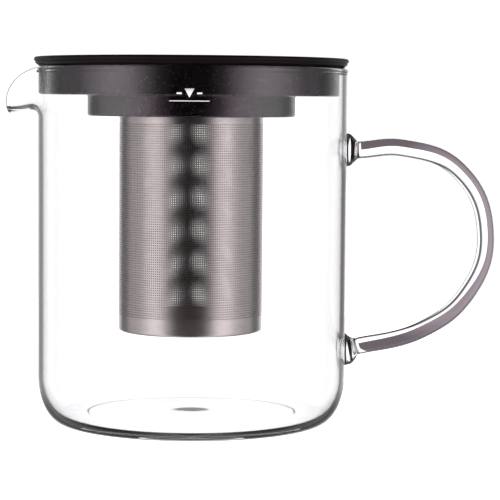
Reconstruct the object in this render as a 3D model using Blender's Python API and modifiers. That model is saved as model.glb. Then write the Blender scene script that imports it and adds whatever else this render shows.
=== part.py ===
"""Glass teapot: a blown jug with a drawn spout and a rod handle, a plastic ring that hangs in its
mouth, a steel strainer that hangs in the ring, and a thin lid on top.

Metres, +Z up. The origin is the centre of the flat base. The spout points to -X and the handle to +X.
"""

import math

import bmesh
import bpy
from mathutils import Vector

# Jug
JUG_RADIUS = 0.0585
RIM_HEIGHT = 0.1343
GLASS_WALL = 0.0018
BASE_THICKNESS = 0.0028
CORNER_WIDTH = 0.0095
CORNER_HEIGHT = 0.0178
RIM_SWELL = 0.0003

# Spout, drawn out of the wall below the rim
SPOUT_DEPTH = 0.0191
SPOUT_HALF_ANGLE = math.radians(23)
SPOUT_SHARPNESS = 2.5
SPOUT_BEND = 0.0042
SPOUT_SHORTENING = 0.31
SPOUT_DROOP = math.radians(8.6)
SPOUT_PINCH = 0.4

# Handle: a round rod, whose ends swell into fused pads
ROD_RADIUS = 0.00325
PAD_RADIUS = 0.0066
PAD_LENGTH = 0.0042
PAD_FLAT = 0.0006  # the pad keeps its full width this far from the wall
ROOT_DEPTH = 0.002  # the rod runs this far past the wall before it is cut to fit
LOWER_TILT = 0.001  # the lower end climbs this much across each stretch of its pad
HANDLE_REACH = 0.0531
UPPER_WELD_DROP = 0.0305
LOWER_WELD_HEIGHT = 0.0298

# Ring that holds the strainer
HOLDER_WALL = 0.0018
FLANGE_THICKNESS = 0.0017
FLANGE_BEVEL = 0.0016
FLANGE_INSET = 0.0005  # the flange stops this far inside the lid's edge
FLANGE_ROUND = 0.0004
SKIRT_DEPTH = 0.0104
WELL_RADIUS = 0.0393
WELL_DEPTH = 0.0079
HOLDER_CLEARANCE = 0.0008
EDGE_ROUND = 0.0005

# Strainer
STRAINER_RADIUS = 0.02725
STRAINER_DROP = 0.0995
SHEET = 0.0005
BASE_BAND = 0.0019
SPIGOT_HEIGHT = 0.0032
FLANGE_SHEET = 0.0008
STRAINER_CLEARANCE = 0.00035
FLANGE_LOOSENESS = 0.001

# Lid
LID_OVERHANG = 0.0009
LID_THICKNESS = 0.0017
LID_SKIRT_DEPTH = 0.006
LID_SKIRT_WALL = 0.0027
LID_CLEARANCE = 0.0015
GROOVE_DEPTH = 0.0014
GROOVE_HEIGHT = 0.002
GROOVE_DROP = 0.0026
SEAL_REACH = 0.0012

GAP = 0.0003  # left between pieces that rest on or touch each other
TURN_STEPS = 72
ARC_STEPS = 5
BEND_STEPS = 24

# Heights and radii that follow from the sizes above
jug_inner = JUG_RADIUS - GLASS_WALL
flange_bottom = RIM_HEIGHT + GAP
flange_top = flange_bottom + FLANGE_THICKNESS
skirt_radius = jug_inner - HOLDER_CLEARANCE
skirt_bottom = RIM_HEIGHT - SKIRT_DEPTH
well_bottom = skirt_bottom - WELL_DEPTH
flange_radius = JUG_RADIUS + LID_OVERHANG - FLANGE_INSET
strainer_top = well_bottom + HOLDER_WALL + GAP + FLANGE_SHEET
strainer_bottom = RIM_HEIGHT - STRAINER_DROP
lid_bottom = flange_top + GAP
lid_top = lid_bottom + LID_THICKNESS
lid_radius = JUG_RADIUS + LID_OVERHANG
lid_skirt_radius = skirt_radius - HOLDER_WALL - LID_CLEARANCE


def clear_scene():
    for item in list(bpy.data.objects):
        bpy.data.objects.remove(item, do_unlink=True)


def new_collection(name):
    collection = bpy.data.collections.new(name)
    bpy.context.scene.collection.children.link(collection)
    return collection


def material(name, colour, roughness, metallic=0.0, transmission=0.0):
    made = bpy.data.materials.new(name)
    made.use_nodes = True
    shader = made.node_tree.nodes["Principled BSDF"]
    shader.inputs["Base Color"].default_value = (*colour, 1.0)
    shader.inputs["Roughness"].default_value = roughness
    shader.inputs["Metallic"].default_value = metallic
    shader.inputs["Transmission Weight"].default_value = transmission
    made.diffuse_color = (*colour, 1.0)
    return made


def arc(centre, radii, start, end, steps=ARC_STEPS):
    """Points (radius, height) of an elliptic arc, with its angles in degrees from outwards."""
    points = []
    for i in range(steps + 1):
        angle = math.radians(start + (end - start) * i / steps)
        points.append((centre[0] + radii[0] * math.cos(angle), centre[1] + radii[1] * math.sin(angle)))
    return points


def turned(name, profile, closed, collection, shade):
    """A solid turned about Z from (radius, height) points that run down its outer side."""
    outline = bmesh.new()
    corners = [outline.verts.new((radius, 0, height)) for radius, height in profile]
    for first, second in zip(corners, corners[1:]):
        outline.edges.new((first, second))
    if closed:
        outline.edges.new((corners[-1], corners[0]))
    mesh = bpy.data.meshes.new(name)
    outline.to_mesh(mesh)
    outline.free()
    piece = bpy.data.objects.new(name, mesh)
    collection.objects.link(piece)
    screw = piece.modifiers.new("Turn", "SCREW")
    screw.steps = TURN_STEPS
    screw.render_steps = TURN_STEPS
    screw.use_merge_vertices = True
    screw.merge_threshold = 0.00001
    screw.use_normal_calculate = False
    return baked(piece, collection, shade)


def baked(piece, collection, shade):
    """The same piece with its modifiers or curve turned into a plain smooth-shaded mesh."""
    graph = bpy.context.evaluated_depsgraph_get()
    mesh = bpy.data.meshes.new_from_object(piece.evaluated_get(graph))
    name = piece.name
    place = piece.matrix_world.copy()
    bpy.data.objects.remove(piece, do_unlink=True)
    weld = bmesh.new()
    weld.from_mesh(mesh)
    bmesh.ops.remove_doubles(weld, verts=weld.verts, dist=0.000005)
    weld.to_mesh(mesh)
    weld.free()
    made = bpy.data.objects.new(name, mesh)
    made.matrix_world = place
    collection.objects.link(made)
    mesh.materials.clear()
    mesh.materials.append(shade)
    mesh.shade_smooth()
    mesh.set_sharp_from_angle(angle=math.radians(35))
    return made


def ease(share):
    share = min(max(share, 0.0), 1.0)
    return share * share * (3 - 2 * share)


def drawn_spout(point):
    """Where a point of the plain round jug goes when the spout is drawn out of the hot rim.

    The wall above the start of the spout bends outwards, most in the middle and not at all at
    the spout's two sides, and what lies inside the outer face stays square to it.
    """
    start = RIM_HEIGHT - SPOUT_DEPTH
    turn = math.atan2(point.y, -point.x)
    rise = point.z - start
    radius = math.hypot(point.x, point.y)
    if rise <= 0 or abs(turn) >= SPOUT_HALF_ANGLE:
        return point
    pull = math.cos(math.pi / 2 * turn / SPOUT_HALF_ANGLE) ** SPOUT_SHARPNESS
    length = SPOUT_DEPTH * (1 - SPOUT_SHORTENING * pull)
    travel = rise * length / SPOUT_DEPTH
    out, up = 0.0, 0.0
    for i in range(BEND_STEPS):
        lean = spout_lean(travel * (i + 0.5) / BEND_STEPS, length, pull)
        out += math.sin(lean) * travel / BEND_STEPS
        up += math.cos(lean) * travel / BEND_STEPS
    lean = spout_lean(travel, length, pull)
    inset = JUG_RADIUS - radius
    reach = JUG_RADIUS + out - inset * math.cos(lean)
    turn *= 1 - SPOUT_PINCH * pull * travel / length
    return Vector((-reach * math.cos(turn), reach * math.sin(turn), start + up + inset * math.sin(lean)))


def spout_lean(travel, length, pull):
    """How far the wall leans out at this distance above the start of the spout."""
    return pull * (math.pi / 2 * ease(travel / SPOUT_BEND) + SPOUT_DROOP * (travel / length) ** 2)


def make_jug(collection, glass):
    half = GLASS_WALL / 2
    inner_corner = (CORNER_WIDTH - GLASS_WALL, CORNER_HEIGHT - BASE_THICKNESS)
    profile = [(0, BASE_THICKNESS)]
    profile += arc((jug_inner - inner_corner[0], CORNER_HEIGHT), inner_corner, -90, 0)
    profile += wall_points(jug_inner, CORNER_HEIGHT, RIM_HEIGHT - half)
    profile += arc((jug_inner + half, RIM_HEIGHT - half), (half + RIM_SWELL, half), 180, 0, 4)[1:]
    profile += reversed(wall_points(JUG_RADIUS, CORNER_HEIGHT, RIM_HEIGHT - half)[:-1])
    profile += arc((JUG_RADIUS - CORNER_WIDTH, CORNER_HEIGHT), (CORNER_WIDTH, CORNER_HEIGHT), 0, -90)
    profile += [(0, 0)]
    jug = turned("glass_jug", profile, False, collection, glass)
    for corner in jug.data.vertices:
        corner.co = drawn_spout(corner.co.copy())
    return jug


def wall_points(radius, low, high):
    """The straight wall: one long stretch, then short steps through the spout's height."""
    steps = 7
    start = high - SPOUT_DEPTH
    return [(radius, start + (high - start) * i / steps) for i in range(steps + 1)]


def cutter_cylinder(name, radius, height, collection):
    solid = bmesh.new()
    bmesh.ops.create_cone(
        solid, cap_ends=True, segments=TURN_STEPS, radius1=radius, radius2=radius, depth=height
    )
    mesh = bpy.data.meshes.new(name)
    solid.to_mesh(mesh)
    solid.free()
    piece = bpy.data.objects.new(name, mesh)
    piece.location.z = height / 2
    piece.hide_render = True
    piece.display_type = "WIRE"
    collection.objects.link(piece)
    return piece


def handle_points():
    """The rod's centreline in the XZ plane, from the upper weld round to the lower one."""
    upper = RIM_HEIGHT - UPPER_WELD_DROP
    lower = LOWER_WELD_HEIGHT
    height = upper - lower
    root = JUG_RADIUS - ROOT_DEPTH
    pad_start = JUG_RADIUS + PAD_FLAT
    pad_end = JUG_RADIUS + PAD_LENGTH
    return [
        (root, upper, PAD_RADIUS),
        (pad_start, upper, PAD_RADIUS),
        (pad_end, upper, ROD_RADIUS),
        (JUG_RADIUS + 0.4 * HANDLE_REACH, upper + 0.012 * height, ROD_RADIUS),
        (JUG_RADIUS + 0.8 * HANDLE_REACH, upper - 0.1 * height, ROD_RADIUS),
        (JUG_RADIUS + HANDLE_REACH, upper - 0.43 * height, ROD_RADIUS),
        (JUG_RADIUS + 0.866 * HANDLE_REACH, lower + 0.261 * height, ROD_RADIUS),
        (JUG_RADIUS + 0.546 * HANDLE_REACH, lower + 0.074 * height, ROD_RADIUS),
        (pad_end, lower - LOWER_TILT, ROD_RADIUS),
        (pad_start, lower - 2 * LOWER_TILT, PAD_RADIUS),
        (root, lower - 2 * LOWER_TILT, PAD_RADIUS),
    ]


def make_handle(collection, cutters, glass):
    curve = bpy.data.curves.new("glass_handle", "CURVE")
    curve.dimensions = "3D"
    curve.bevel_depth = ROD_RADIUS
    curve.bevel_resolution = 3
    curve.resolution_u = 5
    curve.use_fill_caps = True
    spline = curve.splines.new("BEZIER")
    points = handle_points()
    spline.bezier_points.add(len(points) - 1)
    for knot, (x, z, radius) in zip(spline.bezier_points, points):
        knot.co = (x, 0, z)
        knot.radius = radius / ROD_RADIUS
        knot.handle_left_type = "AUTO"
        knot.handle_right_type = "AUTO"
    rod = bpy.data.objects.new("glass_handle", curve)
    collection.objects.link(rod)
    handle = baked(rod, collection, glass)
    cutter = cutter_cylinder("jug_wall_cut", JUG_RADIUS + GAP, RIM_HEIGHT, cutters)
    cut = handle.modifiers.new("Fit to wall", "BOOLEAN")
    cut.operation = "DIFFERENCE"
    cut.solver = "EXACT"
    cut.object = cutter
    return handle


def make_holder(collection, plastic):
    skirt_inner = skirt_radius - HOLDER_WALL
    well_inner = WELL_RADIUS - HOLDER_WALL
    hole = STRAINER_RADIUS + STRAINER_CLEARANCE
    profile = [
        (flange_radius - FLANGE_ROUND, flange_top),
        (flange_radius, flange_top - FLANGE_ROUND),
        (flange_radius - FLANGE_BEVEL, flange_bottom),
        (skirt_radius, flange_bottom),
        (skirt_radius, skirt_bottom + EDGE_ROUND),
        (skirt_radius - EDGE_ROUND, skirt_bottom),
        (WELL_RADIUS, skirt_bottom),
        (WELL_RADIUS, well_bottom + EDGE_ROUND),
        (WELL_RADIUS - EDGE_ROUND, well_bottom),
        (hole, well_bottom),
        (hole, well_bottom + HOLDER_WALL),
        (well_inner, well_bottom + HOLDER_WALL),
        (well_inner, skirt_bottom + HOLDER_WALL),
        (skirt_inner, skirt_bottom + HOLDER_WALL),
        (skirt_inner, flange_top),
    ]
    return turned("infuser_holder", profile, True, collection, plastic)


def make_strainer_wall(collection, steel):
    low = strainer_bottom + BASE_BAND + GAP
    inner = STRAINER_RADIUS - SHEET
    profile = [
        (STRAINER_RADIUS, strainer_top),
        (STRAINER_RADIUS, low),
        (inner, low),
        (inner, strainer_top),
    ]
    return turned("strainer_wall", profile, True, collection, steel)


def make_strainer_base(collection, steel):
    """A pressed pan: a shoulder that carries the tube's lower edge and a spigot inside the tube."""
    spigot = STRAINER_RADIUS - SHEET - GAP
    shoulder = strainer_bottom + BASE_BAND
    top = shoulder + SPIGOT_HEIGHT
    rounding = BASE_BAND - SHEET / 2
    profile = [(0, strainer_bottom + SHEET), (spigot - 2 * SHEET, strainer_bottom + SHEET)]
    profile += [(spigot - SHEET, strainer_bottom + 2 * SHEET), (spigot - SHEET, top), (spigot, top)]
    profile += [(spigot, shoulder), (STRAINER_RADIUS, shoulder)]
    profile += arc(
        (STRAINER_RADIUS - rounding, strainer_bottom + rounding), (rounding, rounding), 0, -90, 4
    )
    profile += [(0, strainer_bottom)]
    return turned("strainer_base", profile, False, collection, steel)


def make_strainer_flange(collection, steel):
    """A flat ring round the tube's top, with its outer edge rolled up."""
    inner = STRAINER_RADIUS + GAP
    outer = WELL_RADIUS - HOLDER_WALL - FLANGE_LOOSENESS
    low = well_bottom + HOLDER_WALL + GAP
    roll = 2 * FLANGE_SHEET
    profile = [
        (outer - FLANGE_SHEET, low + roll),
        (outer, low + roll),
        (outer, low + FLANGE_SHEET / 2),
        (outer - FLANGE_SHEET / 2, low),
        (inner, low),
        (inner, low + FLANGE_SHEET),
        (outer - FLANGE_SHEET, low + FLANGE_SHEET),
    ]
    return turned("strainer_flange", profile, True, collection, steel)


def make_lid(collection, plastic):
    edge = LID_THICKNESS / 2
    inner = lid_skirt_radius - LID_SKIRT_WALL
    skirt_end = lid_bottom - LID_SKIRT_DEPTH
    groove_top = lid_bottom - GROOVE_DROP
    groove_floor = lid_skirt_radius - GROOVE_DEPTH
    profile = [(0, lid_top)]
    profile += arc((lid_radius - edge, lid_bottom + edge), (edge, edge), 90, -90, 6)
    profile += [(lid_skirt_radius, lid_bottom), (lid_skirt_radius, groove_top)]
    profile += [(groove_floor, groove_top), (groove_floor, groove_top - GROOVE_HEIGHT)]
    profile += [(lid_skirt_radius, groove_top - GROOVE_HEIGHT), (lid_skirt_radius, skirt_end)]
    profile += [(inner, skirt_end), (inner, lid_bottom), (0, lid_bottom)]
    return turned("lid_cover", profile, False, collection, plastic)


def make_lid_seal(collection, rubber):
    inner = lid_skirt_radius - GROOVE_DEPTH + GAP
    outer = lid_skirt_radius + SEAL_REACH
    top = lid_bottom - GROOVE_DROP - GAP
    low = lid_bottom - GROOVE_DROP - GROOVE_HEIGHT + GAP
    middle = (top + low) / 2
    profile = [(inner, top), (lid_skirt_radius, top), (outer, middle), (lid_skirt_radius, low), (inner, low)]
    return turned("lid_seal", profile, True, collection, rubber)


def make_body(name, pieces, collection):
    """An empty on the joint's axis that carries the pieces moving together."""
    body = bpy.data.objects.new(name, None)
    body.empty_display_size = 0.01
    collection.objects.link(body)
    for piece in pieces:
        piece.parent = body
    return body


def main():
    clear_scene()
    parts = new_collection("teapot")
    cutters = new_collection("cutters")
    glass = material("clear_glass", (0.95, 0.97, 0.97), 0.02, transmission=1.0)
    plastic = material("dark_plastic", (0.045, 0.038, 0.042), 0.38)
    black = material("black_plastic", (0.012, 0.011, 0.012), 0.42)
    steel = material("steel", (0.62, 0.58, 0.56), 0.3, metallic=1.0)
    rubber = material("silicone", (0.03, 0.03, 0.03), 0.7)
    jug_pieces = [make_jug(parts, glass), make_handle(parts, cutters, glass)]
    strainer_pieces = [
        make_strainer_wall(parts, steel),
        make_strainer_base(parts, steel),
        make_strainer_flange(parts, steel),
    ]
    make_body("jug", jug_pieces, parts)
    holder = make_body("holder", [make_holder(parts, plastic)], parts)
    strainer = make_body("strainer", strainer_pieces, parts)
    lid = make_body("lid", [make_lid(parts, black), make_lid_seal(parts, rubber)], parts)
    strainer.parent = holder
    lid.parent = strainer


main()
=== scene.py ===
"""Looks for the glass teapot: clear blown glass, satin plastic, fine perforated steel, studio light.

Metres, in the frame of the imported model: +Z up, spout to -X, handle to +X, seen along +Y.
"""

import math

import bpy
import numpy as np
from mathutils import Matrix, Vector
from mathutils.geometry import delaunay_2d_cdt


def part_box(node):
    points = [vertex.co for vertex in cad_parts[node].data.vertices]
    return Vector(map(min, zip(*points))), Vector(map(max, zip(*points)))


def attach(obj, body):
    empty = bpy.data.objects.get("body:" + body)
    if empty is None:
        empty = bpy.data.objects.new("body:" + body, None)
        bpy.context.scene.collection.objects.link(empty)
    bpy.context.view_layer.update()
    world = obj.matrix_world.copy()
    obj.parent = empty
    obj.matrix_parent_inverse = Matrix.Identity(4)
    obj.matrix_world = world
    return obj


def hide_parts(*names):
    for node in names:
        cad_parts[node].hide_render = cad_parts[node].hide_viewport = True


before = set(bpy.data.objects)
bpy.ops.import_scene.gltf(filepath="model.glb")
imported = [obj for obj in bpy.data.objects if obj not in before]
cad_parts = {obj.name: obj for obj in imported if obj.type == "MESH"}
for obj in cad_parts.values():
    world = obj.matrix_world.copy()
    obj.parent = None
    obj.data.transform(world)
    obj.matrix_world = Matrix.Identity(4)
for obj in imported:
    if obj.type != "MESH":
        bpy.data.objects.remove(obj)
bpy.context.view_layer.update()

# The jug and its spout, as in the model
GLASS_WALL = 0.0018
BASE_THICKNESS = 0.0028
RIM_SWELL = 0.0003
CORNER_WIDTH = 0.0095
CORNER_HEIGHT = 0.0178
SPOUT_DEPTH = 0.0191
SPOUT_HALF_ANGLE = math.radians(23)
SPOUT_SHARPNESS = 2.5
SPOUT_BEND = 0.0042
SPOUT_SHORTENING = 0.31
SPOUT_DROOP = math.radians(8.6)
SPOUT_PINCH = 0.4

# The handle, as in the model
ROD_RADIUS = 0.00325
PAD_RADIUS = 0.0066
PAD_SHOULDER = 0.0012
PAD_LENGTH = 0.0042
HANDLE_REACH = 0.0531
UPPER_WELD_DROP = 0.0305
LOWER_WELD_HEIGHT = 0.0298
LOWER_WELD_SINK = 0.002

# Traces of the hot glass that are too shallow for the model
WELD_DIMPLE_DEPTH = 0.0007
WELD_DIMPLE_REACH = 0.0055
BASE_DIMPLE_DEPTH = 0.0004
BASE_DIMPLE_REACH = 0.0048
CONTACT_RADIUS = 0.0403
UNDERSIDE_RECESS = 0.0002

# Sizes that the frame gives
rim_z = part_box("glass_jug")[1].z
jug_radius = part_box("glass_jug")[1].x - RIM_SWELL
jug_inner = jug_radius - GLASS_WALL
strainer_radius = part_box("strainer_wall")[1].x
strainer_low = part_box("strainer_base")[0].z
strainer_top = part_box("strainer_wall")[1].z

# The mark printed on the glass. Each height is above the level line
MARK_SHIFT = 0.0004
MARK_LIFT = 0.00003
MARK_FILM = 0.00002
LINE_DROP = 0.0124
LINE_WIDTH = 0.0142
LINE_THICKNESS = 0.00028
ARROW_TIP = 0.0013
ARROW_TOP = 0.0043
ARROW_WIDTH = 0.0034
BAR_OFFSET = 0.0036
BAR_LENGTH = 0.0018
BAR_LOW = 0.0024
BAR_HIGH = 0.003

# Holder, strainer and lid sit towards the spout, by most of the play that they have in the mouth
SEAT = -0.0006

# Plastic pieces. The flange's top is drawn a little higher than in the model, and the lid a little lower,
# so that they nearly meet
PLASTIC_WALL = 0.0018
MOUTH_PLAY = 0.0008
SKIRT_DEPTH = 0.0104
WELL_RADIUS = 0.0393
STRAINER_PLAY = 0.00035
FLANGE_RAISED = 0.00012
FLANGE_GAP = 0.00015
FLANGE_INSET = 0.0016
LID_LOWERED = 0.0003
LID_THICKNESS = 0.0017
LID_PLAY = 0.0015
LID_WALL = 0.0027
GROOVE_DROP = 0.0026
GROOVE_HEIGHT = 0.002
GROOVE_DEPTH = 0.0014
SEAL_PLAY = 0.0003

# Strainer sheet and its holes. Heights are above the strainer's bottom
SHEET = 0.0004
FLANGE_SHEET = 0.0006
PAN_CORNER = 0.0018
PAN_JOIN = 0.0019
PAN_SPIGOT_TOP = 0.0051
PAN_HOLE_RADIUS = 0.0235
HOLE_PITCH = 0.000874
HOLE_DIAMETER = 0.0005
HOLES_LOW = 0.0062
HOLES_HIGH = 0.0788
SPOT_WELD_HEIGHT = 0.004

# Camera
CAMERA_PLACE = (0.022, -0.76, 0.1224)
CAMERA_TILT = math.radians(4.29)
CAMERA_ROLL = math.radians(0.45)
CAMERA_LENS = 144

# The studio's brightness, as stops of (degrees, level). Around runs from 0, straight in front of the
# pot, to 180, straight behind it. Tilt runs from 0, straight down, to 180, straight up
AROUND_BOXES = [
    (0, 0.0), (19, 0.0), (28, 0.1), (37, 0.5), (46, 0.95), (56, 1.1), (66, 0.95), (78, 0.6),
    (92, 0.36), (112, 0.34), (119, 0.05), (124, 0.0), (140, 0.0), (147, 0.4), (156, 0.9)]
AROUND_SHEEN = [
    (0, 0.0), (14, 0.0), (24, 0.1), (34, 0.45), (46, 0.85), (56, 1.0), (66, 0.9), (78, 0.6),
    (92, 0.2), (114, 0.14), (123, 0.3), (131, 0.5), (142, 0.5), (150, 0.22), (157, 0.22), (162, 0.45),
    (168, 0.9), (176, 1.0)]
AROUND_BACKDROP = [
    (0, 0.06), (28, 0.06), (34, 1.0), (59, 1.0), (64, 0.08), (74, 0.08), (79, 1.0), (102, 1.0),
    (107, 0.08), (117, 0.08), (123, 1.0), (141, 1.0), (147, 0.09), (156, 0.09), (161, 0.75),
    (166, 1.0), (180, 1.0)]
TILT_BACKDROP = [(0, 0.06), (40, 0.06), (52, 1.0), (118, 1.0), (132, 0.08), (180, 0.05)]
TILT_OPEN = [(0, 1.0), (112, 1.0), (128, 0.1), (180, 0.05)]
TILT_IN_GLASS = [(0, 0.04), (70, 0.04), (80, 1.0), (112, 1.0), (128, 0.1), (180, 0.05)]
STUDIO_STRENGTH = 1.25
BACKDROP_STRENGTH = 1.5
CAMERA_STRENGTH = 1.3


# ---------------------------------------------------------------- mesh tools

def mesh_object(name, points, faces, shade, smooth=True):
    mesh = bpy.data.meshes.new(name)
    mesh.from_pydata(points, [], faces)
    mesh.update()
    piece = bpy.data.objects.new(name, mesh)
    bpy.context.scene.collection.objects.link(piece)
    mesh.materials.append(shade)
    if smooth:
        mesh.shade_smooth()
        mesh.set_sharp_from_angle(angle=math.radians(40))
    return piece


def rounded(corners, closed=True, steps=6):
    """A profile whose corners (radius, height, fillet) are rounded by arcs of their own fillet."""
    points = []
    count = len(corners)
    for i, (radius, height, fillet) in enumerate(corners):
        here = Vector((radius, height))
        if fillet <= 0 or (not closed and i in (0, count - 1)):
            points.append(tuple(here))
            continue
        before = Vector(corners[i - 1][:2]) - here
        after = Vector(corners[(i + 1) % count][:2]) - here
        half = before.angle(after) / 2
        setback = min(fillet / math.tan(half), before.length * 0.49, after.length * 0.49)
        fillet = setback * math.tan(half)
        before.normalize()
        after.normalize()
        centre = here + (before + after).normalized() * (fillet / math.sin(half))
        start = here + before * setback - centre
        end = here + after * setback - centre
        sweep = start.angle_signed(end)
        for k in range(steps + 1):
            turned_to = start.copy()
            turned_to.rotate(Matrix.Rotation(-sweep * k / steps, 2))
            points.append(tuple(centre + turned_to))
    return points


def turned(name, profile, closed, shade, segments=256):
    """A solid of revolution about Z. The profile runs down its outer side."""
    rings = []
    points = []
    faces = []
    for radius, height in profile:
        if radius < 1e-7:
            rings.append([len(points)])
            points.append((0, 0, height))
            continue
        rings.append(list(range(len(points), len(points) + segments)))
        for k in range(segments):
            angle = 2 * math.pi * k / segments
            points.append((radius * math.cos(angle), radius * math.sin(angle), height))
    pairs = list(zip(rings, rings[1:]))
    if closed:
        pairs.append((rings[-1], rings[0]))
    for upper, lower in pairs:
        for k in range(segments):
            following = (k + 1) % segments
            if len(upper) == 1:
                faces.append((upper[0], lower[k], lower[following]))
            elif len(lower) == 1:
                faces.append((upper[k], lower[0], upper[following]))
            else:
                faces.append((upper[k], lower[k], lower[following], upper[following]))
    return mesh_object(name, points, faces, shade)


def arc(centre, radii, start, end, steps):
    angles = [math.radians(start + (end - start) * i / steps) for i in range(steps + 1)]
    return [(centre[0] + radii[0] * math.cos(a), centre[1] + radii[1] * math.sin(a)) for a in angles]


def stretch(start, end, steps):
    """Evenly spaced points between two, without the ends."""
    return [
        (start[0] + (end[0] - start[0]) * i / steps, start[1] + (end[1] - start[1]) * i / steps)
        for i in range(1, steps)
    ]


# ---------------------------------------------------------------- materials

def new_material(name):
    made = bpy.data.materials.new(name)
    made.use_nodes = True
    return made, made.node_tree, made.node_tree.nodes["Principled BSDF"]


def noise(tree, scale, detail=3.0, stretched=(1, 1, 1)):
    place = tree.nodes.new("ShaderNodeTexCoord")
    mapping = tree.nodes.new("ShaderNodeMapping")
    mapping.inputs["Scale"].default_value = stretched
    texture = tree.nodes.new("ShaderNodeTexNoise")
    texture.inputs["Scale"].default_value = scale
    texture.inputs["Detail"].default_value = detail
    tree.links.new(place.outputs["Object"], mapping.inputs["Vector"])
    tree.links.new(mapping.outputs["Vector"], texture.inputs["Vector"])
    return texture.outputs["Fac"]


def bump(tree, shader, height, strength, distance):
    node = tree.nodes.new("ShaderNodeBump")
    node.inputs["Strength"].default_value = strength
    node.inputs["Distance"].default_value = distance
    tree.links.new(height, node.inputs["Height"])
    tree.links.new(node.outputs["Normal"], shader.inputs["Normal"])


def spread(tree, value, low, high):
    node = tree.nodes.new("ShaderNodeMapRange")
    node.inputs["From Min"].default_value = 0.3
    node.inputs["From Max"].default_value = 0.7
    node.inputs["To Min"].default_value = low
    node.inputs["To Max"].default_value = high
    tree.links.new(value, node.inputs["Value"])
    return node.outputs["Result"]


def two_tone(tree, value, dark, light):
    ramp = tree.nodes.new("ShaderNodeValToRGB")
    ramp.color_ramp.elements[0].position = 0.35
    ramp.color_ramp.elements[0].color = (*dark, 1)
    ramp.color_ramp.elements[1].position = 0.65
    ramp.color_ramp.elements[1].color = (*light, 1)
    tree.links.new(value, ramp.inputs["Fac"])
    return ramp.outputs["Color"]


def clear_glass():
    """Borosilicate glass, with the faint waviness of a blown wall."""
    made, tree, shader = new_material("blown_glass")
    shader.inputs["Transmission Weight"].default_value = 1.0
    shader.inputs["Roughness"].default_value = 0.0
    shader.inputs["IOR"].default_value = 1.47
    tone = two_tone(tree, noise(tree, 30, 2), (0.975, 0.975, 0.985), (0.99, 0.99, 0.995))
    tree.links.new(tone, shader.inputs["Base Color"])
    bump(tree, shader, noise(tree, 45, 1, (1, 1, 0.35)), 0.12, 0.0004)
    absorbing = tree.nodes.new("ShaderNodeVolumeAbsorption")
    absorbing.inputs["Color"].default_value = (0.52, 0.45, 0.5, 1)
    absorbing.inputs["Density"].default_value = 16
    tree.links.new(absorbing.outputs[0], tree.nodes["Material Output"].inputs["Volume"])
    return made


def satin_plastic(name, dark, light, roughness, specular, ior):
    """Moulded plastic with a fine spark-eroded grain."""
    made, tree, shader = new_material(name)
    shader.inputs["Specular IOR Level"].default_value = specular
    shader.inputs["IOR"].default_value = ior
    shader.inputs["Specular Tint"].default_value = (1.0, 0.74, 0.88, 1)
    tone = two_tone(tree, noise(tree, 60, 4), dark, light)
    tree.links.new(tone, shader.inputs["Base Color"])
    rough = spread(tree, noise(tree, 900, 3), roughness - 0.02, roughness + 0.02)
    tree.links.new(rough, shader.inputs["Roughness"])
    bump(tree, shader, noise(tree, 1600, 2), 0.01, 0.00002)
    return made


def strainer_steel(name, dark, light):
    """Cold-rolled stainless sheet, warm in tone, with fine marks along the rolling direction."""
    made, tree, shader = new_material(name)
    shader.inputs["Metallic"].default_value = 1.0
    tone = two_tone(tree, noise(tree, 240, 4, (1, 1, 6)), dark, light)
    tree.links.new(tone, shader.inputs["Base Color"])
    rough = spread(tree, noise(tree, 700, 3, (1, 1, 5)), 0.28, 0.3)
    tree.links.new(rough, shader.inputs["Roughness"])
    bump(tree, shader, noise(tree, 2500, 2, (1, 1, 8)), 0.15, 0.00001)
    return made


def silicone():
    made, tree, shader = new_material("grey_silicone")
    tone = two_tone(tree, noise(tree, 150, 3), (0.025, 0.024, 0.025), (0.04, 0.038, 0.04))
    tree.links.new(tone, shader.inputs["Base Color"])
    rough = spread(tree, noise(tree, 1500, 2), 0.6, 0.75)
    tree.links.new(rough, shader.inputs["Roughness"])
    return made


def white_enamel_painted_glow():
    made, tree, shader = new_material("white_enamel_painted_glow")
    tone = two_tone(tree, noise(tree, 3000, 2), (0.86, 0.86, 0.86), (0.95, 0.95, 0.95))
    tree.links.new(tone, shader.inputs["Base Color"])
    shader.inputs["Roughness"].default_value = 0.5
    # The print glows a little: painted light that keeps the mark bright white on the glass.
    shader.inputs["Emission Color"].default_value = (1, 1, 1, 1)
    shader.inputs["Emission Strength"].default_value = 0.35
    return made


# ---------------------------------------------------------------- the glass

def eased(share):
    share = np.clip(share, 0, 1)
    return share * share * (3 - 2 * share)


def drawn_spout(points):
    """Bends the plain round wall out into the spout, as it is drawn from the hot rim."""
    x, y, z = points.T.copy()
    start = rim_z - SPOUT_DEPTH
    turn = np.arctan2(y, -x)
    rise = z - start
    inset = jug_radius - np.hypot(x, y)
    moved = (rise > 0) & (np.abs(turn) < SPOUT_HALF_ANGLE)
    share = np.clip(np.abs(turn) / SPOUT_HALF_ANGLE, 0, 1)
    pull = np.cos(math.pi / 2 * share) ** SPOUT_SHARPNESS
    length = SPOUT_DEPTH * (1 - SPOUT_SHORTENING * pull)
    travel = rise * length / SPOUT_DEPTH
    out = np.zeros_like(x)
    up = np.zeros_like(x)
    steps = 48
    for i in range(steps):
        along = travel * (i + 0.5) / steps
        lean = spout_lean(along, length, pull)
        out += np.sin(lean) * travel / steps
        up += np.cos(lean) * travel / steps
    lean = spout_lean(travel, length, pull)
    reach = jug_radius + out - inset * np.cos(lean)
    turn = turn * (1 - SPOUT_PINCH * pull * travel / length)
    bent = np.stack([-reach * np.cos(turn), reach * np.sin(turn), start + up + inset * np.sin(lean)], 1)
    return np.where(moved[:, None], bent, points)


def spout_lean(travel, length, pull):
    return pull * (math.pi / 2 * eased(travel / SPOUT_BEND) + SPOUT_DROOP * (travel / length) ** 2)


def weld_heights():
    """Heights of the middles of the two pads."""
    return rim_z - UPPER_WELD_DROP, LOWER_WELD_HEIGHT - LOWER_WELD_SINK


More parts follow.
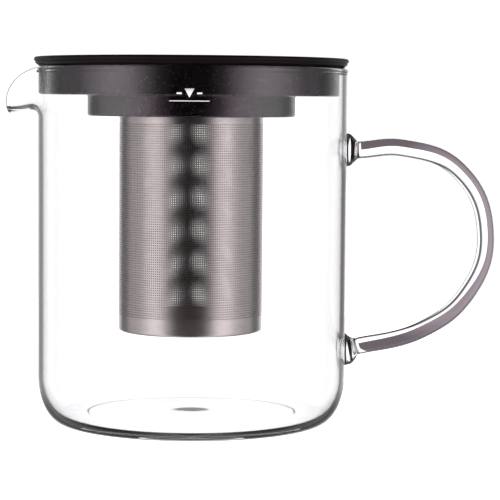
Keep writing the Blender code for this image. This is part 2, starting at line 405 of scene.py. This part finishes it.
def sunk_welds(points):
    """The hot rod's ends draw a shallow dimple into the inside of the wall behind each pad."""
    x, y, z = points.T
    inside = np.hypot(x, y) < jug_radius - GLASS_WALL * 0.6
    facing = inside & (x > 0)
    depth = np.zeros_like(x)
    for height in weld_heights():
        away = np.hypot(y, z - height)
        depth += WELD_DIMPLE_DEPTH * np.exp(-((away / WELD_DIMPLE_REACH) ** 2))
    reach = np.hypot(x, y)
    grow = np.where(facing & (z > 0.01), 1 + depth / np.maximum(reach, 1e-6), 1)
    return np.stack([x * grow, y * grow, z], 1)


def jug_profile():
    """Half of the jug's section, from the middle of its floor over the rim to its underside."""
    half = GLASS_WALL / 2
    corner = (CORNER_WIDTH - GLASS_WALL, CORNER_HEIGHT - BASE_THICKNESS)
    floor_edge = jug_inner - corner[0]
    spout_start = rim_z - SPOUT_DEPTH - 0.002
    floor_radii = [floor_edge * i / 24 for i in range(24)]
    dimple = [BASE_DIMPLE_DEPTH * math.exp(-((r / BASE_DIMPLE_REACH) ** 2)) for r in floor_radii]
    profile = [(r, BASE_THICKNESS - depth) for r, depth in zip(floor_radii, dimple)]
    profile += arc((floor_edge, CORNER_HEIGHT), corner, -90, 0, 20)
    profile += stretch((jug_inner, CORNER_HEIGHT), (jug_inner, spout_start), 40)
    profile += stretch((jug_inner, spout_start), (jug_inner, rim_z - half), 24)
    profile += arc((jug_inner + half, rim_z - half), (half + RIM_SWELL, half + RIM_SWELL / 2), 180, 0, 12)
    profile += stretch((jug_radius, rim_z - half), (jug_radius, spout_start), 24)
    profile += stretch((jug_radius, spout_start), (jug_radius, CORNER_HEIGHT), 40)
    outer_edge = jug_radius - CORNER_WIDTH
    profile += arc((outer_edge, CORNER_HEIGHT), (CORNER_WIDTH, CORNER_HEIGHT), 0, -90, 20)
    step = [(0.0, 0.0), (0.0002, 0.0), (0.0004, 0.2), (0.0007, 0.8), (0.001, 1.0), (0.0012, 1.0)]
    profile += [(CONTACT_RADIUS - inward, UNDERSIDE_RECESS * share) for inward, share in step]
    profile += [(radius, UNDERSIDE_RECESS) for radius in (0.030, 0.020, 0.010, 0)]
    return profile


def make_jug(glass):
    jug = turned("glass_body", jug_profile(), False, glass, 320)
    points = np.empty(len(jug.data.vertices) * 3)
    jug.data.vertices.foreach_get("co", points)
    points = sunk_welds(drawn_spout(points.reshape(-1, 3)))
    jug.data.vertices.foreach_set("co", points.ravel())
    jug.data.shade_smooth()
    return jug


def handle_points():
    """The rod's centreline in the XZ plane and its radius, from the upper weld to the lower."""
    upper = rim_z - UPPER_WELD_DROP
    lower = LOWER_WELD_HEIGHT
    height = upper - lower
    root = jug_radius - GLASS_WALL / 2
    return [
        (root, upper, PAD_RADIUS),
        (jug_radius + PAD_SHOULDER, upper, PAD_RADIUS * 0.93),
        (jug_radius + PAD_LENGTH, upper, ROD_RADIUS),
        (jug_radius + 0.4 * HANDLE_REACH, upper + 0.012 * height, ROD_RADIUS),
        (jug_radius + 0.8 * HANDLE_REACH, upper - 0.1 * height, ROD_RADIUS),
        (jug_radius + HANDLE_REACH, upper - 0.43 * height, ROD_RADIUS),
        (jug_radius + 0.866 * HANDLE_REACH, lower + 0.261 * height, ROD_RADIUS),
        (jug_radius + 0.546 * HANDLE_REACH, lower + 0.074 * height, ROD_RADIUS),
        (jug_radius + PAD_LENGTH, lower - 0.5 * LOWER_WELD_SINK, ROD_RADIUS),
        (jug_radius + PAD_SHOULDER, lower - 0.9 * LOWER_WELD_SINK, PAD_RADIUS * 0.93),
        (root, lower - LOWER_WELD_SINK, PAD_RADIUS),
    ]


def make_rod(glass):
    curve = bpy.data.curves.new("rod", "CURVE")
    curve.dimensions = "3D"
    curve.bevel_depth = ROD_RADIUS
    curve.bevel_resolution = 10
    curve.resolution_u = 14
    curve.use_fill_caps = True
    spline = curve.splines.new("BEZIER")
    points = handle_points()
    spline.bezier_points.add(len(points) - 1)
    for knot, (x, z, radius) in zip(spline.bezier_points, points):
        knot.co = (x, 0, z)
        knot.radius = radius / ROD_RADIUS
        knot.handle_left_type = "AUTO"
        knot.handle_right_type = "AUTO"
    rod = bpy.data.objects.new("rod", curve)
    bpy.context.scene.collection.objects.link(rod)
    graph = bpy.context.evaluated_depsgraph_get()
    mesh = bpy.data.meshes.new_from_object(rod.evaluated_get(graph))
    bpy.data.objects.remove(rod)
    solid = bpy.data.objects.new("glass_rod", mesh)
    bpy.context.scene.collection.objects.link(solid)
    weld = solid.modifiers.new("Caps", "WELD")
    weld.merge_threshold = 0.00001
    mesh.materials.clear()
    mesh.materials.append(glass)
    mesh.shade_smooth()
    return solid


def make_glass(glass):
    """The jug with its rod handle fused on, as one body of glass."""
    jug = make_jug(glass)
    rod = make_rod(glass)
    fuse = jug.modifiers.new("Fused", "BOOLEAN")
    fuse.operation = "UNION"
    fuse.solver = "EXACT"
    fuse.object = rod
    graph = bpy.context.evaluated_depsgraph_get()
    mesh = bpy.data.meshes.new_from_object(jug.evaluated_get(graph))
    jug.modifiers.clear()
    jug.data = mesh
    bpy.data.objects.remove(rod)
    mesh.shade_smooth()
    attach(jug, "jug")
    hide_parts("glass_jug", "glass_handle")
    return jug


# ---------------------------------------------------------------- fill mark

def bent_patch(name, outline_rows, shade):
    """Flat shapes, each a strip of (left, right, height) rows, laid on the front of the wall."""
    points = []
    faces = []
    radius = jug_radius + MARK_LIFT
    across = 8
    for rows in outline_rows:
        base = len(points)
        for left, right, height in rows:
            for i in range(across + 1):
                angle = (MARK_SHIFT + left + (right - left) * i / across) / radius
                points.append((radius * math.sin(angle), -radius * math.cos(angle), height))
        for r in range(len(rows) - 1):
            for i in range(across):
                a = base + r * (across + 1) + i
                faces.append((a, a + 1, a + across + 2, a + across + 1))
    patch = mesh_object(name, points, faces, shade)
    thick = patch.modifiers.new("Film", "SOLIDIFY")
    thick.thickness = MARK_FILM
    thick.offset = 1.0
    return patch


def bar(middle, half, low, high):
    """The rows of a level bar."""
    return [(middle - half, middle + half, low), (middle - half, middle + half, high)]


def make_fill_mark():
    """A level line under a plain down-pointing arrowhead between two short bars."""
    line_z = rim_z - LINE_DROP
    line = bar(0.0, LINE_WIDTH / 2, line_z - LINE_THICKNESS / 2, line_z + LINE_THICKNESS / 2)
    half = ARROW_WIDTH / 2
    tip, top = line_z + ARROW_TIP, line_z + ARROW_TOP
    arrow = [(-0.00005, 0.00005, tip), (-half / 2, half / 2, (tip + top) / 2), (-half, half, top)]
    low, high = line_z + BAR_LOW, line_z + BAR_HIGH
    bars = [bar(side * BAR_OFFSET, BAR_LENGTH / 2, low, high) for side in (-1, 1)]
    mark = bent_patch("level_mark", [line, arrow, *bars], white_enamel_painted_glow())
    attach(mark, "jug")


# ---------------------------------------------------------------- plastic pieces

def make_holder(plastic, dull_and_shaded):
    """The stepped ring that hangs in the mouth, with soft moulded edges, and a flange in a duller copy of
    its plastic whose darker tone is painted shade.
    """
    low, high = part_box("infuser_holder")
    top = high.z + FLANGE_RAISED
    under = rim_z + FLANGE_GAP
    flange = high.x
    skirt = jug_inner - MOUTH_PLAY
    skirt_bottom = rim_z - SKIRT_DEPTH
    hole = strainer_radius + STRAINER_PLAY
    corners = [
        (flange, top, 0.0003),
        (flange, high.z - 0.0006, 0.0003),
        (flange - FLANGE_INSET, under, 0.0004),
        (skirt, under, 0.0003),
        (skirt, skirt_bottom, 0.0006),
        (WELL_RADIUS, skirt_bottom, 0.0006),
        (WELL_RADIUS, low.z, 0.0009),
        (hole, low.z, 0.0003),
        (hole, low.z + PLASTIC_WALL, 0.0003),
        (WELL_RADIUS - PLASTIC_WALL, low.z + PLASTIC_WALL, 0.0006),
        (WELL_RADIUS - PLASTIC_WALL, skirt_bottom + PLASTIC_WALL, 0.0005),
        (skirt - PLASTIC_WALL, skirt_bottom + PLASTIC_WALL, 0.0006),
        (skirt - PLASTIC_WALL, top, 0.0004),
    ]
    ring = turned("infuser_ring", rounded(corners), True, plastic, 256)
    ring.data.materials.append(dull_and_shaded)
    # Faces above the rim get the duller copy, whose darker tone paints shade on the flange.
    dull_and_shaded_above = under - 0.00005
    for face in ring.data.polygons:
        if face.center.z > dull_and_shaded_above:
            face.material_index = 1
    ring.location.x = SEAT
    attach(ring, "holder")
    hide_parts("infuser_holder")


def make_lid(plastic, rubber):
    """A thin disc with a full rounded edge, and the short skirt that centres it."""
    low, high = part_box("lid_cover")
    high.z -= LID_LOWERED
    radius = high.x
    under = high.z - LID_THICKNESS
    skirt = jug_inner - MOUTH_PLAY - PLASTIC_WALL - LID_PLAY
    inner = skirt - LID_WALL
    groove = skirt - GROOVE_DEPTH
    groove_top = under - GROOVE_DROP
    groove_bottom = groove_top - GROOVE_HEIGHT
    corners = [
        (0, high.z - 0.00005, 0),
        (radius * 0.5, high.z - 0.00002, 0),
        (radius * 0.93, high.z, 0),
        (radius, high.z, 0.00085),
        (radius, under, 0.00075),
        (skirt, under, 0.0003),
        (skirt, groove_top, 0.0002),
        (groove, groove_top, 0.0002),
        (groove, groove_bottom, 0.0002),
        (skirt, groove_bottom, 0.0002),
        (skirt, low.z, 0.0006),
        (inner, low.z, 0.0006),
        (inner, under, 0.0005),
        (0, under, 0),
    ]
    # The lid takes the duller copy of the plastic, whose darker tone is painted shade.
    disc = turned("lid_disc", rounded(corners, closed=False), False, plastic, 256)
    disc.location.x = SEAT
    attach(disc, "lid")
    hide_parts("lid_cover")
    make_seal(skirt, groove + SEAL_PLAY, rubber)


def make_seal(skirt, inside, rubber):
    """The soft ring in the groove of the lid's skirt, with a blunt lip."""
    low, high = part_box("lid_seal")
    corners = [
        (inside, high.z, 0.0002),
        (skirt, high.z, 0.0003),
        (high.x, (low.z + high.z) / 2, 0.0003),
        (skirt, low.z, 0.0003),
        (inside, low.z, 0.0002),
    ]
    seal = turned("seal_ring", rounded(corners), True, rubber, 256)
    seal.location.x = SEAT
    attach(seal, "lid")
    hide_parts("lid_seal")


# ---------------------------------------------------------------- strainer

def ring_of(radius, count, height, first=0.0):
    angles = first + 2 * np.pi * np.arange(count) / count
    return np.stack([radius * np.cos(angles), radius * np.sin(angles), np.full(count, height)], 1)


def octagon():
    """The angles of an eight-sided hole's corners."""
    return [math.radians(22.5 + 45 * k) for k in range(8)]


def tube_skin(radius, heights, columns):
    """The points of one side of the sheet: the grid's corners, then each hole's corners."""
    first = -np.pi / 2
    angles = first + 2 * np.pi / columns * (np.arange(columns) + 0.5)
    middles = (np.array(heights[1:-2]) + np.array(heights[2:-1])) / 2
    angle, height, corner = np.meshgrid(angles, middles, octagon(), indexing="ij")
    angle = angle + HOLE_DIAMETER / 2 / strainer_radius * np.cos(corner)
    height = height + HOLE_DIAMETER / 2 * np.sin(corner)
    holes = np.stack([radius * np.cos(angle), radius * np.sin(angle), height], -1).reshape(-1, 3)
    return np.concatenate([*(ring_of(radius, columns, level, first) for level in heights), holes])


def holed_cell(a, b, c, d, o):
    """The faces between a cell's four corners and its hole o."""
    return [
        (a, b, o[6], o[5]), (b, c, o[0], o[7]), (c, d, o[2], o[1]), (d, a, o[4], o[3]),
        (b, o[7], o[6]), (c, o[1], o[0]), (d, o[3], o[2]), (a, o[5], o[4]),
    ]


def perforated_tube(name, low, high, holes_low, holes_high, shade):
    """A rolled sheet with an eight-sided hole in each cell of a square grid, open at both ends.

    The count of columns is odd, so that holes at the front don't line up with those at the back.
    """
    columns = 2 * round(math.pi * strainer_radius / HOLE_PITCH) + 1
    rows = round((holes_high - holes_low) / HOLE_PITCH)
    heights = [low, *np.linspace(holes_low, holes_high, rows + 1), high]
    skins = [tube_skin(radius, heights, columns) for radius in (strainer_radius, strainer_radius - SHEET)]
    faces = []

    def grid(skin, row, column):
        return skin * len(skins[0]) + row * columns + column % columns

    def hole(skin, row, column, corner):
        return grid(skin, rows + 3, 0) + (column * rows + row) * 8 + corner % 8

    for column in range(columns):
        for row in range(rows + 2):
            plain = row in (0, rows + 1)
            for skin in (0, 1):
                a, b = grid(skin, row, column), grid(skin, row, column + 1)
                c, d = grid(skin, row + 1, column + 1), grid(skin, row + 1, column)
                cell = [(a, b, c, d)]
                if not plain:
                    cell = holed_cell(a, b, c, d, [hole(skin, row - 1, column, k) for k in range(8)])
                faces += cell if skin == 0 else [face[::-1] for face in cell]
            if plain:
                continue
            for k in range(8):
                faces.append((
                    hole(0, row - 1, column, k), hole(0, row - 1, column, k + 1),
                    hole(1, row - 1, column, k + 1), hole(1, row - 1, column, k),
                ))
        for row, left, right in ((0, column + 1, column), (rows + 2, column, column + 1)):
            faces.append((grid(0, row, left), grid(0, row, right), grid(1, row, right), grid(1, row, left)))
    return mesh_object(name, np.concatenate(skins).tolist(), faces, shade)


def perforated_disc(name, radius, holed_radius, height, shade):
    """The strainer's flat bottom: a round sheet with the same square grid of holes."""
    sides = 192
    rim = [2 * math.pi * k / sides for k in range(sides)]
    points = [Vector((radius * math.cos(a), radius * math.sin(a))) for a in rim]
    loops = [list(range(sides))]
    reach = int(holed_radius / HOLE_PITCH)
    half = HOLE_DIAMETER / 2
    for i in range(-reach, reach + 1):
        for j in range(-reach, reach + 1):
            x, y = i * HOLE_PITCH, j * HOLE_PITCH
            if math.hypot(x, y) > holed_radius:
                continue
            loops.append(list(range(len(points), len(points) + 8)))
            points += [Vector((x + half * math.cos(a), y + half * math.sin(a))) for a in octagon()]
    flat, _, faces, _, _, owners = delaunay_2d_cdt(points, [], loops, 1, 1e-7)
    kept = [face for face, owner in zip(faces, owners) if owner == [0]]
    disc = mesh_object(name, [(p.x, p.y, height) for p in flat], kept, shade, smooth=False)
    thick = disc.modifiers.new("Sheet", "SOLIDIFY")
    thick.thickness = SHEET
    thick.offset = 1.0
    return disc


def make_strainer(steel, inside):
    """The rolled tube, with shade painted on its inside by a darker copy of the steel, and then the pieces
    that are welded to it.
    """
    low = strainer_low + PAN_JOIN
    holes_low = strainer_low + HOLES_LOW
    holes_high = strainer_low + HOLES_HIGH
    tube = perforated_tube("strainer_tube", low, strainer_top, holes_low, holes_high, steel)
    tube.data.materials.append(inside)
    shade_inside(tube)
    tube.location.x = SEAT
    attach(tube, "strainer")
    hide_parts("strainer_wall")
    make_strainer_bottom(steel)
    make_strainer_rim(steel)
    make_seam(steel)
    make_spot_welds(steel)


def shade_inside(tube):
    """The tube's inner faces, and the walls of its holes, get the second material: a darker copy of the
    steel that paints the shade inside the tube.
    """
    for face in tube.data.polygons:
        outward = Vector((face.center.x, face.center.y, 0)).normalized()
        if face.normal.dot(outward) < 0.5:
            face.material_index = 1


def make_strainer_bottom(steel):
    """A pan with a rounded edge and a spigot inside the tube, and a holed disc in its middle."""
    spigot = strainer_radius - SHEET - 0.00005
    spigot_top = strainer_low + PAN_SPIGOT_TOP
    join = strainer_low + PAN_JOIN
    inner = PAN_HOLE_RADIUS
    corners = [
        (inner, strainer_low + SHEET, 0),
        (spigot - 2 * SHEET, strainer_low + SHEET, 0.0004),
        (spigot - SHEET, strainer_low + 3 * SHEET, 0.0003),
        (spigot - SHEET, spigot_top, 0.0001),
        (spigot, spigot_top, 0.0001),
        (spigot, join, 0),
        (strainer_radius, join, 0),
        (strainer_radius, strainer_low, PAN_CORNER),
        (inner, strainer_low, 0),
    ]
    pan = turned("strainer_pan", rounded(corners, steps=8), True, steel, 196)
    pan.location.x = SEAT
    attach(pan, "strainer")
    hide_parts("strainer_base")
    disc = perforated_disc("strainer_bottom", inner + 0.0002, inner - 0.0012, strainer_low + 0.00002, steel)
    disc.location.x = SEAT
    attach(disc, "strainer")


def make_strainer_rim(steel):
    """The ring that rests in the holder's well, with its edge turned up."""
    low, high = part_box("strainer_flange")
    inner = high.x - FLANGE_SHEET
    corners = [
        (inner, high.z, 0.00025),
        (high.x, high.z, 0.00025),
        (high.x, low.z, 0.0008),
        (strainer_radius, low.z, 0.0001),
        (strainer_radius, low.z + FLANGE_SHEET, 0.0001),
        (inner, low.z + FLANGE_SHEET, 0.0002),
    ]
    rim = turned("strainer_rim", rounded(corners), True, steel, 196)
    rim.location.x = SEAT
    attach(rim, "strainer")
    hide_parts("strainer_flange")


def make_seam(steel):
    """The narrow ground-flat weld along the front, between two columns of holes."""
    half = 0.00017
    proud = 0.00002
    points = []
    faces = []
    heights = np.linspace(strainer_low + 0.0021, strainer_top - 0.001, 120)
    section = [(-half, -proud), (-half, proud), (half, proud), (half, -proud)]
    for height in heights:
        for across, outward in section:
            points.append((across, -(strainer_radius + outward), height))
    for r in range(len(heights) - 1):
        for k in range(3):
            a = r * 4 + k
            faces.append((a, a + 1, a + 5, a + 4))
    bead = mesh_object("strainer_seam", points, faces, steel)
    bead.location.x = SEAT
    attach(bead, "strainer")


def on_strainer(angle, height, proud):
    """A point that stands proud of the strainer's wall."""
    radius = strainer_radius + proud
    return radius * math.cos(angle), radius * math.sin(angle), height


def make_spot_welds(steel):
    """Four small round pressings in the plain lower band, where the bottom is welded in."""
    points = []
    faces = []
    height = strainer_low + SPOT_WELD_HEIGHT
    profile = [(0.00035, 0.00001), (0.00055, 0.00005), (0.0008, 0.00001)]
    sides = 24
    for k in range(4):
        around = math.radians(-45 + 90 * k)
        base = len(points)
        points.append(on_strainer(around, height, 0.00002))
        for reach, proud in profile:
            for i in range(sides):
                turn = 2 * math.pi * i / sides
                angle = around + reach * math.cos(turn) / strainer_radius
                points.append(on_strainer(angle, height + reach * math.sin(turn), proud))
        for i in range(sides):
            j = (i + 1) % sides
            faces.append((base, base + 1 + i, base + 1 + j))
            for ring in range(2):
                a = base + 1 + ring * sides
                faces.append((a + i, a + sides + i, a + sides + j, a + j))
    spots = mesh_object("spot_welds", points, faces, steel)
    spots.location.x = SEAT
    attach(spots, "strainer")


# ---------------------------------------------------------------- stage, light and camera

def make_floor():
    """A pale lit table top. It isn't seen through the glass or in it, so no horizon crosses the pot."""
    radii = [0.0, 0.1, 0.2, 0.48]
    floor = turned("floor", [(radius, -0.0002) for radius in radii], False, white_table(), 96)
    floor.visible_transmission = False
    floor.visible_glossy = False


def white_table():
    made, tree, shader = new_material("white_table")
    tone = two_tone(tree, noise(tree, 4, 2), (0.86, 0.86, 0.86), (0.88, 0.88, 0.88))
    tree.links.new(tone, shader.inputs["Base Color"])
    shader.inputs["Roughness"].default_value = 0.9
    shader.inputs["Specular IOR Level"].default_value = 0.1
    shader.inputs["Emission Color"].default_value = (1, 1, 1, 1)
    shader.inputs["Emission Strength"].default_value = 1.5
    return made


def card_look(name, near, far, start, end):
    """A card that only one layer of glass shows, shaded from one tone to another along X."""
    made = bpy.data.materials.new(name)
    made.use_nodes = True
    tree = made.node_tree
    nodes, links = tree.nodes, tree.links
    nodes.clear()
    place = nodes.new("ShaderNodeTexCoord")
    split = nodes.new("ShaderNodeSeparateXYZ")
    links.new(place.outputs["Object"], split.inputs["Vector"])
    along = nodes.new("ShaderNodeMapRange")
    along.inputs["From Min"].default_value = start
    along.inputs["From Max"].default_value = end
    links.new(split.outputs["X"], along.inputs["Value"])
    glow = nodes.new("ShaderNodeEmission")
    links.new(two_tone(tree, along.outputs["Result"], near, far), glow.inputs["Color"])
    path = nodes.new("ShaderNodeLightPath")
    clear = nodes.new("ShaderNodeBsdfTransparent")
    out = nodes.new("ShaderNodeOutputMaterial")
    beyond = computed(tree, "GREATER_THAN", path.outputs["Transmission Depth"], 3.5)
    links.new(either(tree, beyond, glow.outputs[0], clear.outputs[0]), out.inputs["Surface"])
    return made


def make_card():
    """A grey card close behind the handle's finger gap, to shade the outer half of the rod."""
    low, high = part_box("glass_handle")
    behind = 0.03
    middle = (low.z + high.z) / 2 - 0.004
    half = (high.z - low.z) / 2 - ROD_RADIUS
    left = jug_radius + 0.006
    reach = high.x - ROD_RADIUS - left
    steps = 24
    points = [(left, behind, middle - half), (left, behind, middle + half)]
    for i in range(steps + 1):
        angle = math.pi / 2 - math.pi * i / steps
        points.append((left + reach * math.cos(angle) ** 0.6, behind, middle + half * math.sin(angle)))
    look = card_look("grey_card", (0.175, 0.145, 0.165), (0.37, 0.31, 0.35), left, high.x)
    card = mesh_object("grey_card", points, [tuple(range(len(points)))], look, smooth=False)
    card.visible_camera = False
    card.visible_diffuse = False
    card.visible_glossy = False
    card.visible_shadow = False


def level_ramp(tree, share, stops):
    """A brightness ramp over a share of 180 degrees."""
    ramp = tree.nodes.new("ShaderNodeValToRGB")
    band = ramp.color_ramp
    while len(band.elements) > 1:
        band.elements.remove(band.elements[-1])
    for i, (degrees, level) in enumerate(stops):
        place = degrees / 180
        element = band.elements[0] if i == 0 else band.elements.new(place)
        element.position = place
        element.color = (level, level, level, 1)
    tree.links.new(share, ramp.inputs["Fac"])
    return ramp.outputs["Color"]


def computed(tree, operation, first, second):
    """The outcome of a sum with sockets or plain numbers."""
    node = tree.nodes.new("ShaderNodeMath")
    node.operation = operation
    for socket, value in zip(node.inputs, (first, second)):
        if isinstance(value, float):
            socket.default_value = value
        else:
            tree.links.new(value, socket)
    return node.outputs[0]


def either(tree, share, first, second):
    """The first shader where share is 0, and the second where it is 1."""
    node = tree.nodes.new("ShaderNodeMixShader")
    tree.links.new(share, node.inputs["Fac"])
    tree.links.new(first, node.inputs[1])
    tree.links.new(second, node.inputs[2])
    return node.outputs[0]


def blended(tree, kind, share, first, second):
    """Two tones blended, or multiplied, by a share."""
    node = tree.nodes.new("ShaderNodeMix")
    node.data_type = "RGBA"
    node.blend_type = kind
    if isinstance(share, float):
        node.inputs["Factor"].default_value = share
    else:
        tree.links.new(share, node.inputs["Factor"])
    tree.links.new(first, node.inputs[6])
    tree.links.new(second, node.inputs[7])
    return node.outputs[2]


def background(tree, strength, tone=None):
    node = tree.nodes.new("ShaderNodeBackground")
    node.inputs["Strength"].default_value = strength
    if tone:
        tree.links.new(tone, node.inputs["Color"])
    return node.outputs[0]


def studio_angles(tree):
    """Where a ray goes, around the pot and in tilt, each as a share of 180 degrees."""
    place = tree.nodes.new("ShaderNodeTexCoord")
    split = tree.nodes.new("ShaderNodeSeparateXYZ")
    tree.links.new(place.outputs["Generated"], split.inputs["Vector"])
    sideways = computed(tree, "ABSOLUTE", split.outputs["X"], 0.0)
    forward = computed(tree, "MULTIPLY", split.outputs["Y"], -1.0)
    around = computed(tree, "DIVIDE", computed(tree, "ARCTAN2", sideways, forward), math.pi)
    rise = computed(tree, "ARCSINE", split.outputs["Z"], 0.0)
    tilt = computed(tree, "MULTIPLY_ADD", rise, 1 / math.pi)
    tilt.node.inputs[2].default_value = 0.5
    return around, tilt


def make_studio_light():
    """Soft light all round, with a part of its own for each kind of ray.

    The camera sees plain white. A ray straight through the glass sees a bright backdrop between dark
    flags. A reflected ray sees soft boxes: those of the sheen on the near layers of glass, and
    plainer ones on the deeper layers. Within the glass the sheen is dark below the horizon.
    """
    world = bpy.data.worlds.new("studio")
    bpy.context.scene.world = world
    world.use_nodes = True
    tree = world.node_tree
    tree.nodes.clear()
    around, tilt = studio_angles(tree)
    path = tree.nodes.new("ShaderNodeLightPath")
    depth = path.outputs["Transmission Depth"]

    open_tilt = level_ramp(tree, tilt, TILT_OPEN)
    glass_tilt = level_ramp(tree, tilt, TILT_IN_GLASS)
    sheen_tilt = blended(tree, "MIX", computed(tree, "GREATER_THAN", depth, 0.5), open_tilt, glass_tilt)

    def light(strength, stops, tilt_levels):
        levels = level_ramp(tree, around, stops)
        return background(tree, strength, blended(tree, "MULTIPLY", 1.0, levels, tilt_levels))

    boxes = light(STUDIO_STRENGTH, AROUND_BOXES, open_tilt)
    sheen = light(STUDIO_STRENGTH, AROUND_SHEEN, sheen_tilt)
    backdrop = light(BACKDROP_STRENGTH, AROUND_BACKDROP, level_ramp(tree, tilt, TILT_BACKDROP))
    white = background(tree, CAMERA_STRENGTH)

    bounces = computed(tree, "ADD", path.outputs["Glossy Depth"], path.outputs["Diffuse Depth"])
    near = computed(tree, "LESS_THAN", depth, 2.5)
    mirrored = either(tree, near, boxes, sheen)
    seen = either(tree, computed(tree, "GREATER_THAN", bounces, 0.5), backdrop, mirrored)
    out = tree.nodes.new("ShaderNodeOutputWorld")
    tree.links.new(either(tree, path.outputs["Is Camera Ray"], seen, white), out.inputs["Surface"])


def make_camera():
    """Nearly level with the fill mark, a long lens, aimed a little down."""
    data = bpy.data.cameras.new("camera")
    data.lens = CAMERA_LENS
    data.sensor_width = 36
    camera = bpy.data.objects.new("camera", data)
    bpy.context.scene.collection.objects.link(camera)
    level = math.radians(90)
    turn = Matrix.Rotation(level - CAMERA_TILT, 4, "X") @ Matrix.Rotation(CAMERA_ROLL, 4, "Z")
    camera.matrix_world = Matrix.Translation(CAMERA_PLACE) @ turn
    bpy.context.scene.camera = camera


def main():
    bpy.context.scene.view_settings.view_transform = "Standard"
    make_camera()
    make_floor()
    make_card()
    make_studio_light()
    steel = strainer_steel("rolled_steel", (0.7, 0.61, 0.61), (0.78, 0.69, 0.685))
    # A darker copy of the same steel for the inside of the tube and its holes: painted shade.
    inside = strainer_steel("shaded_steel", (0.28, 0.23, 0.24), (0.34, 0.28, 0.29))
    make_glass(clear_glass())
    make_fill_mark()
    # A duller, darker copy of the ring's plastic for the lid and the flange: the finish is duller, and the
    # darker tone is painted shade.
    dull_and_shaded = satin_plastic("dull_and_shaded_plastic", (0.005, 0.004, 0.0045), (0.008, 0.0065, 0.007), 0.42, 0.18, 1.45)
    satin = satin_plastic("ring_plastic", (0.024, 0.019, 0.022), (0.029, 0.023, 0.027), 0.26, 0.5, 1.72)
    make_holder(satin, dull_and_shaded)
    make_lid(dull_and_shaded, silicone())
    make_strainer(steel, inside)


main()
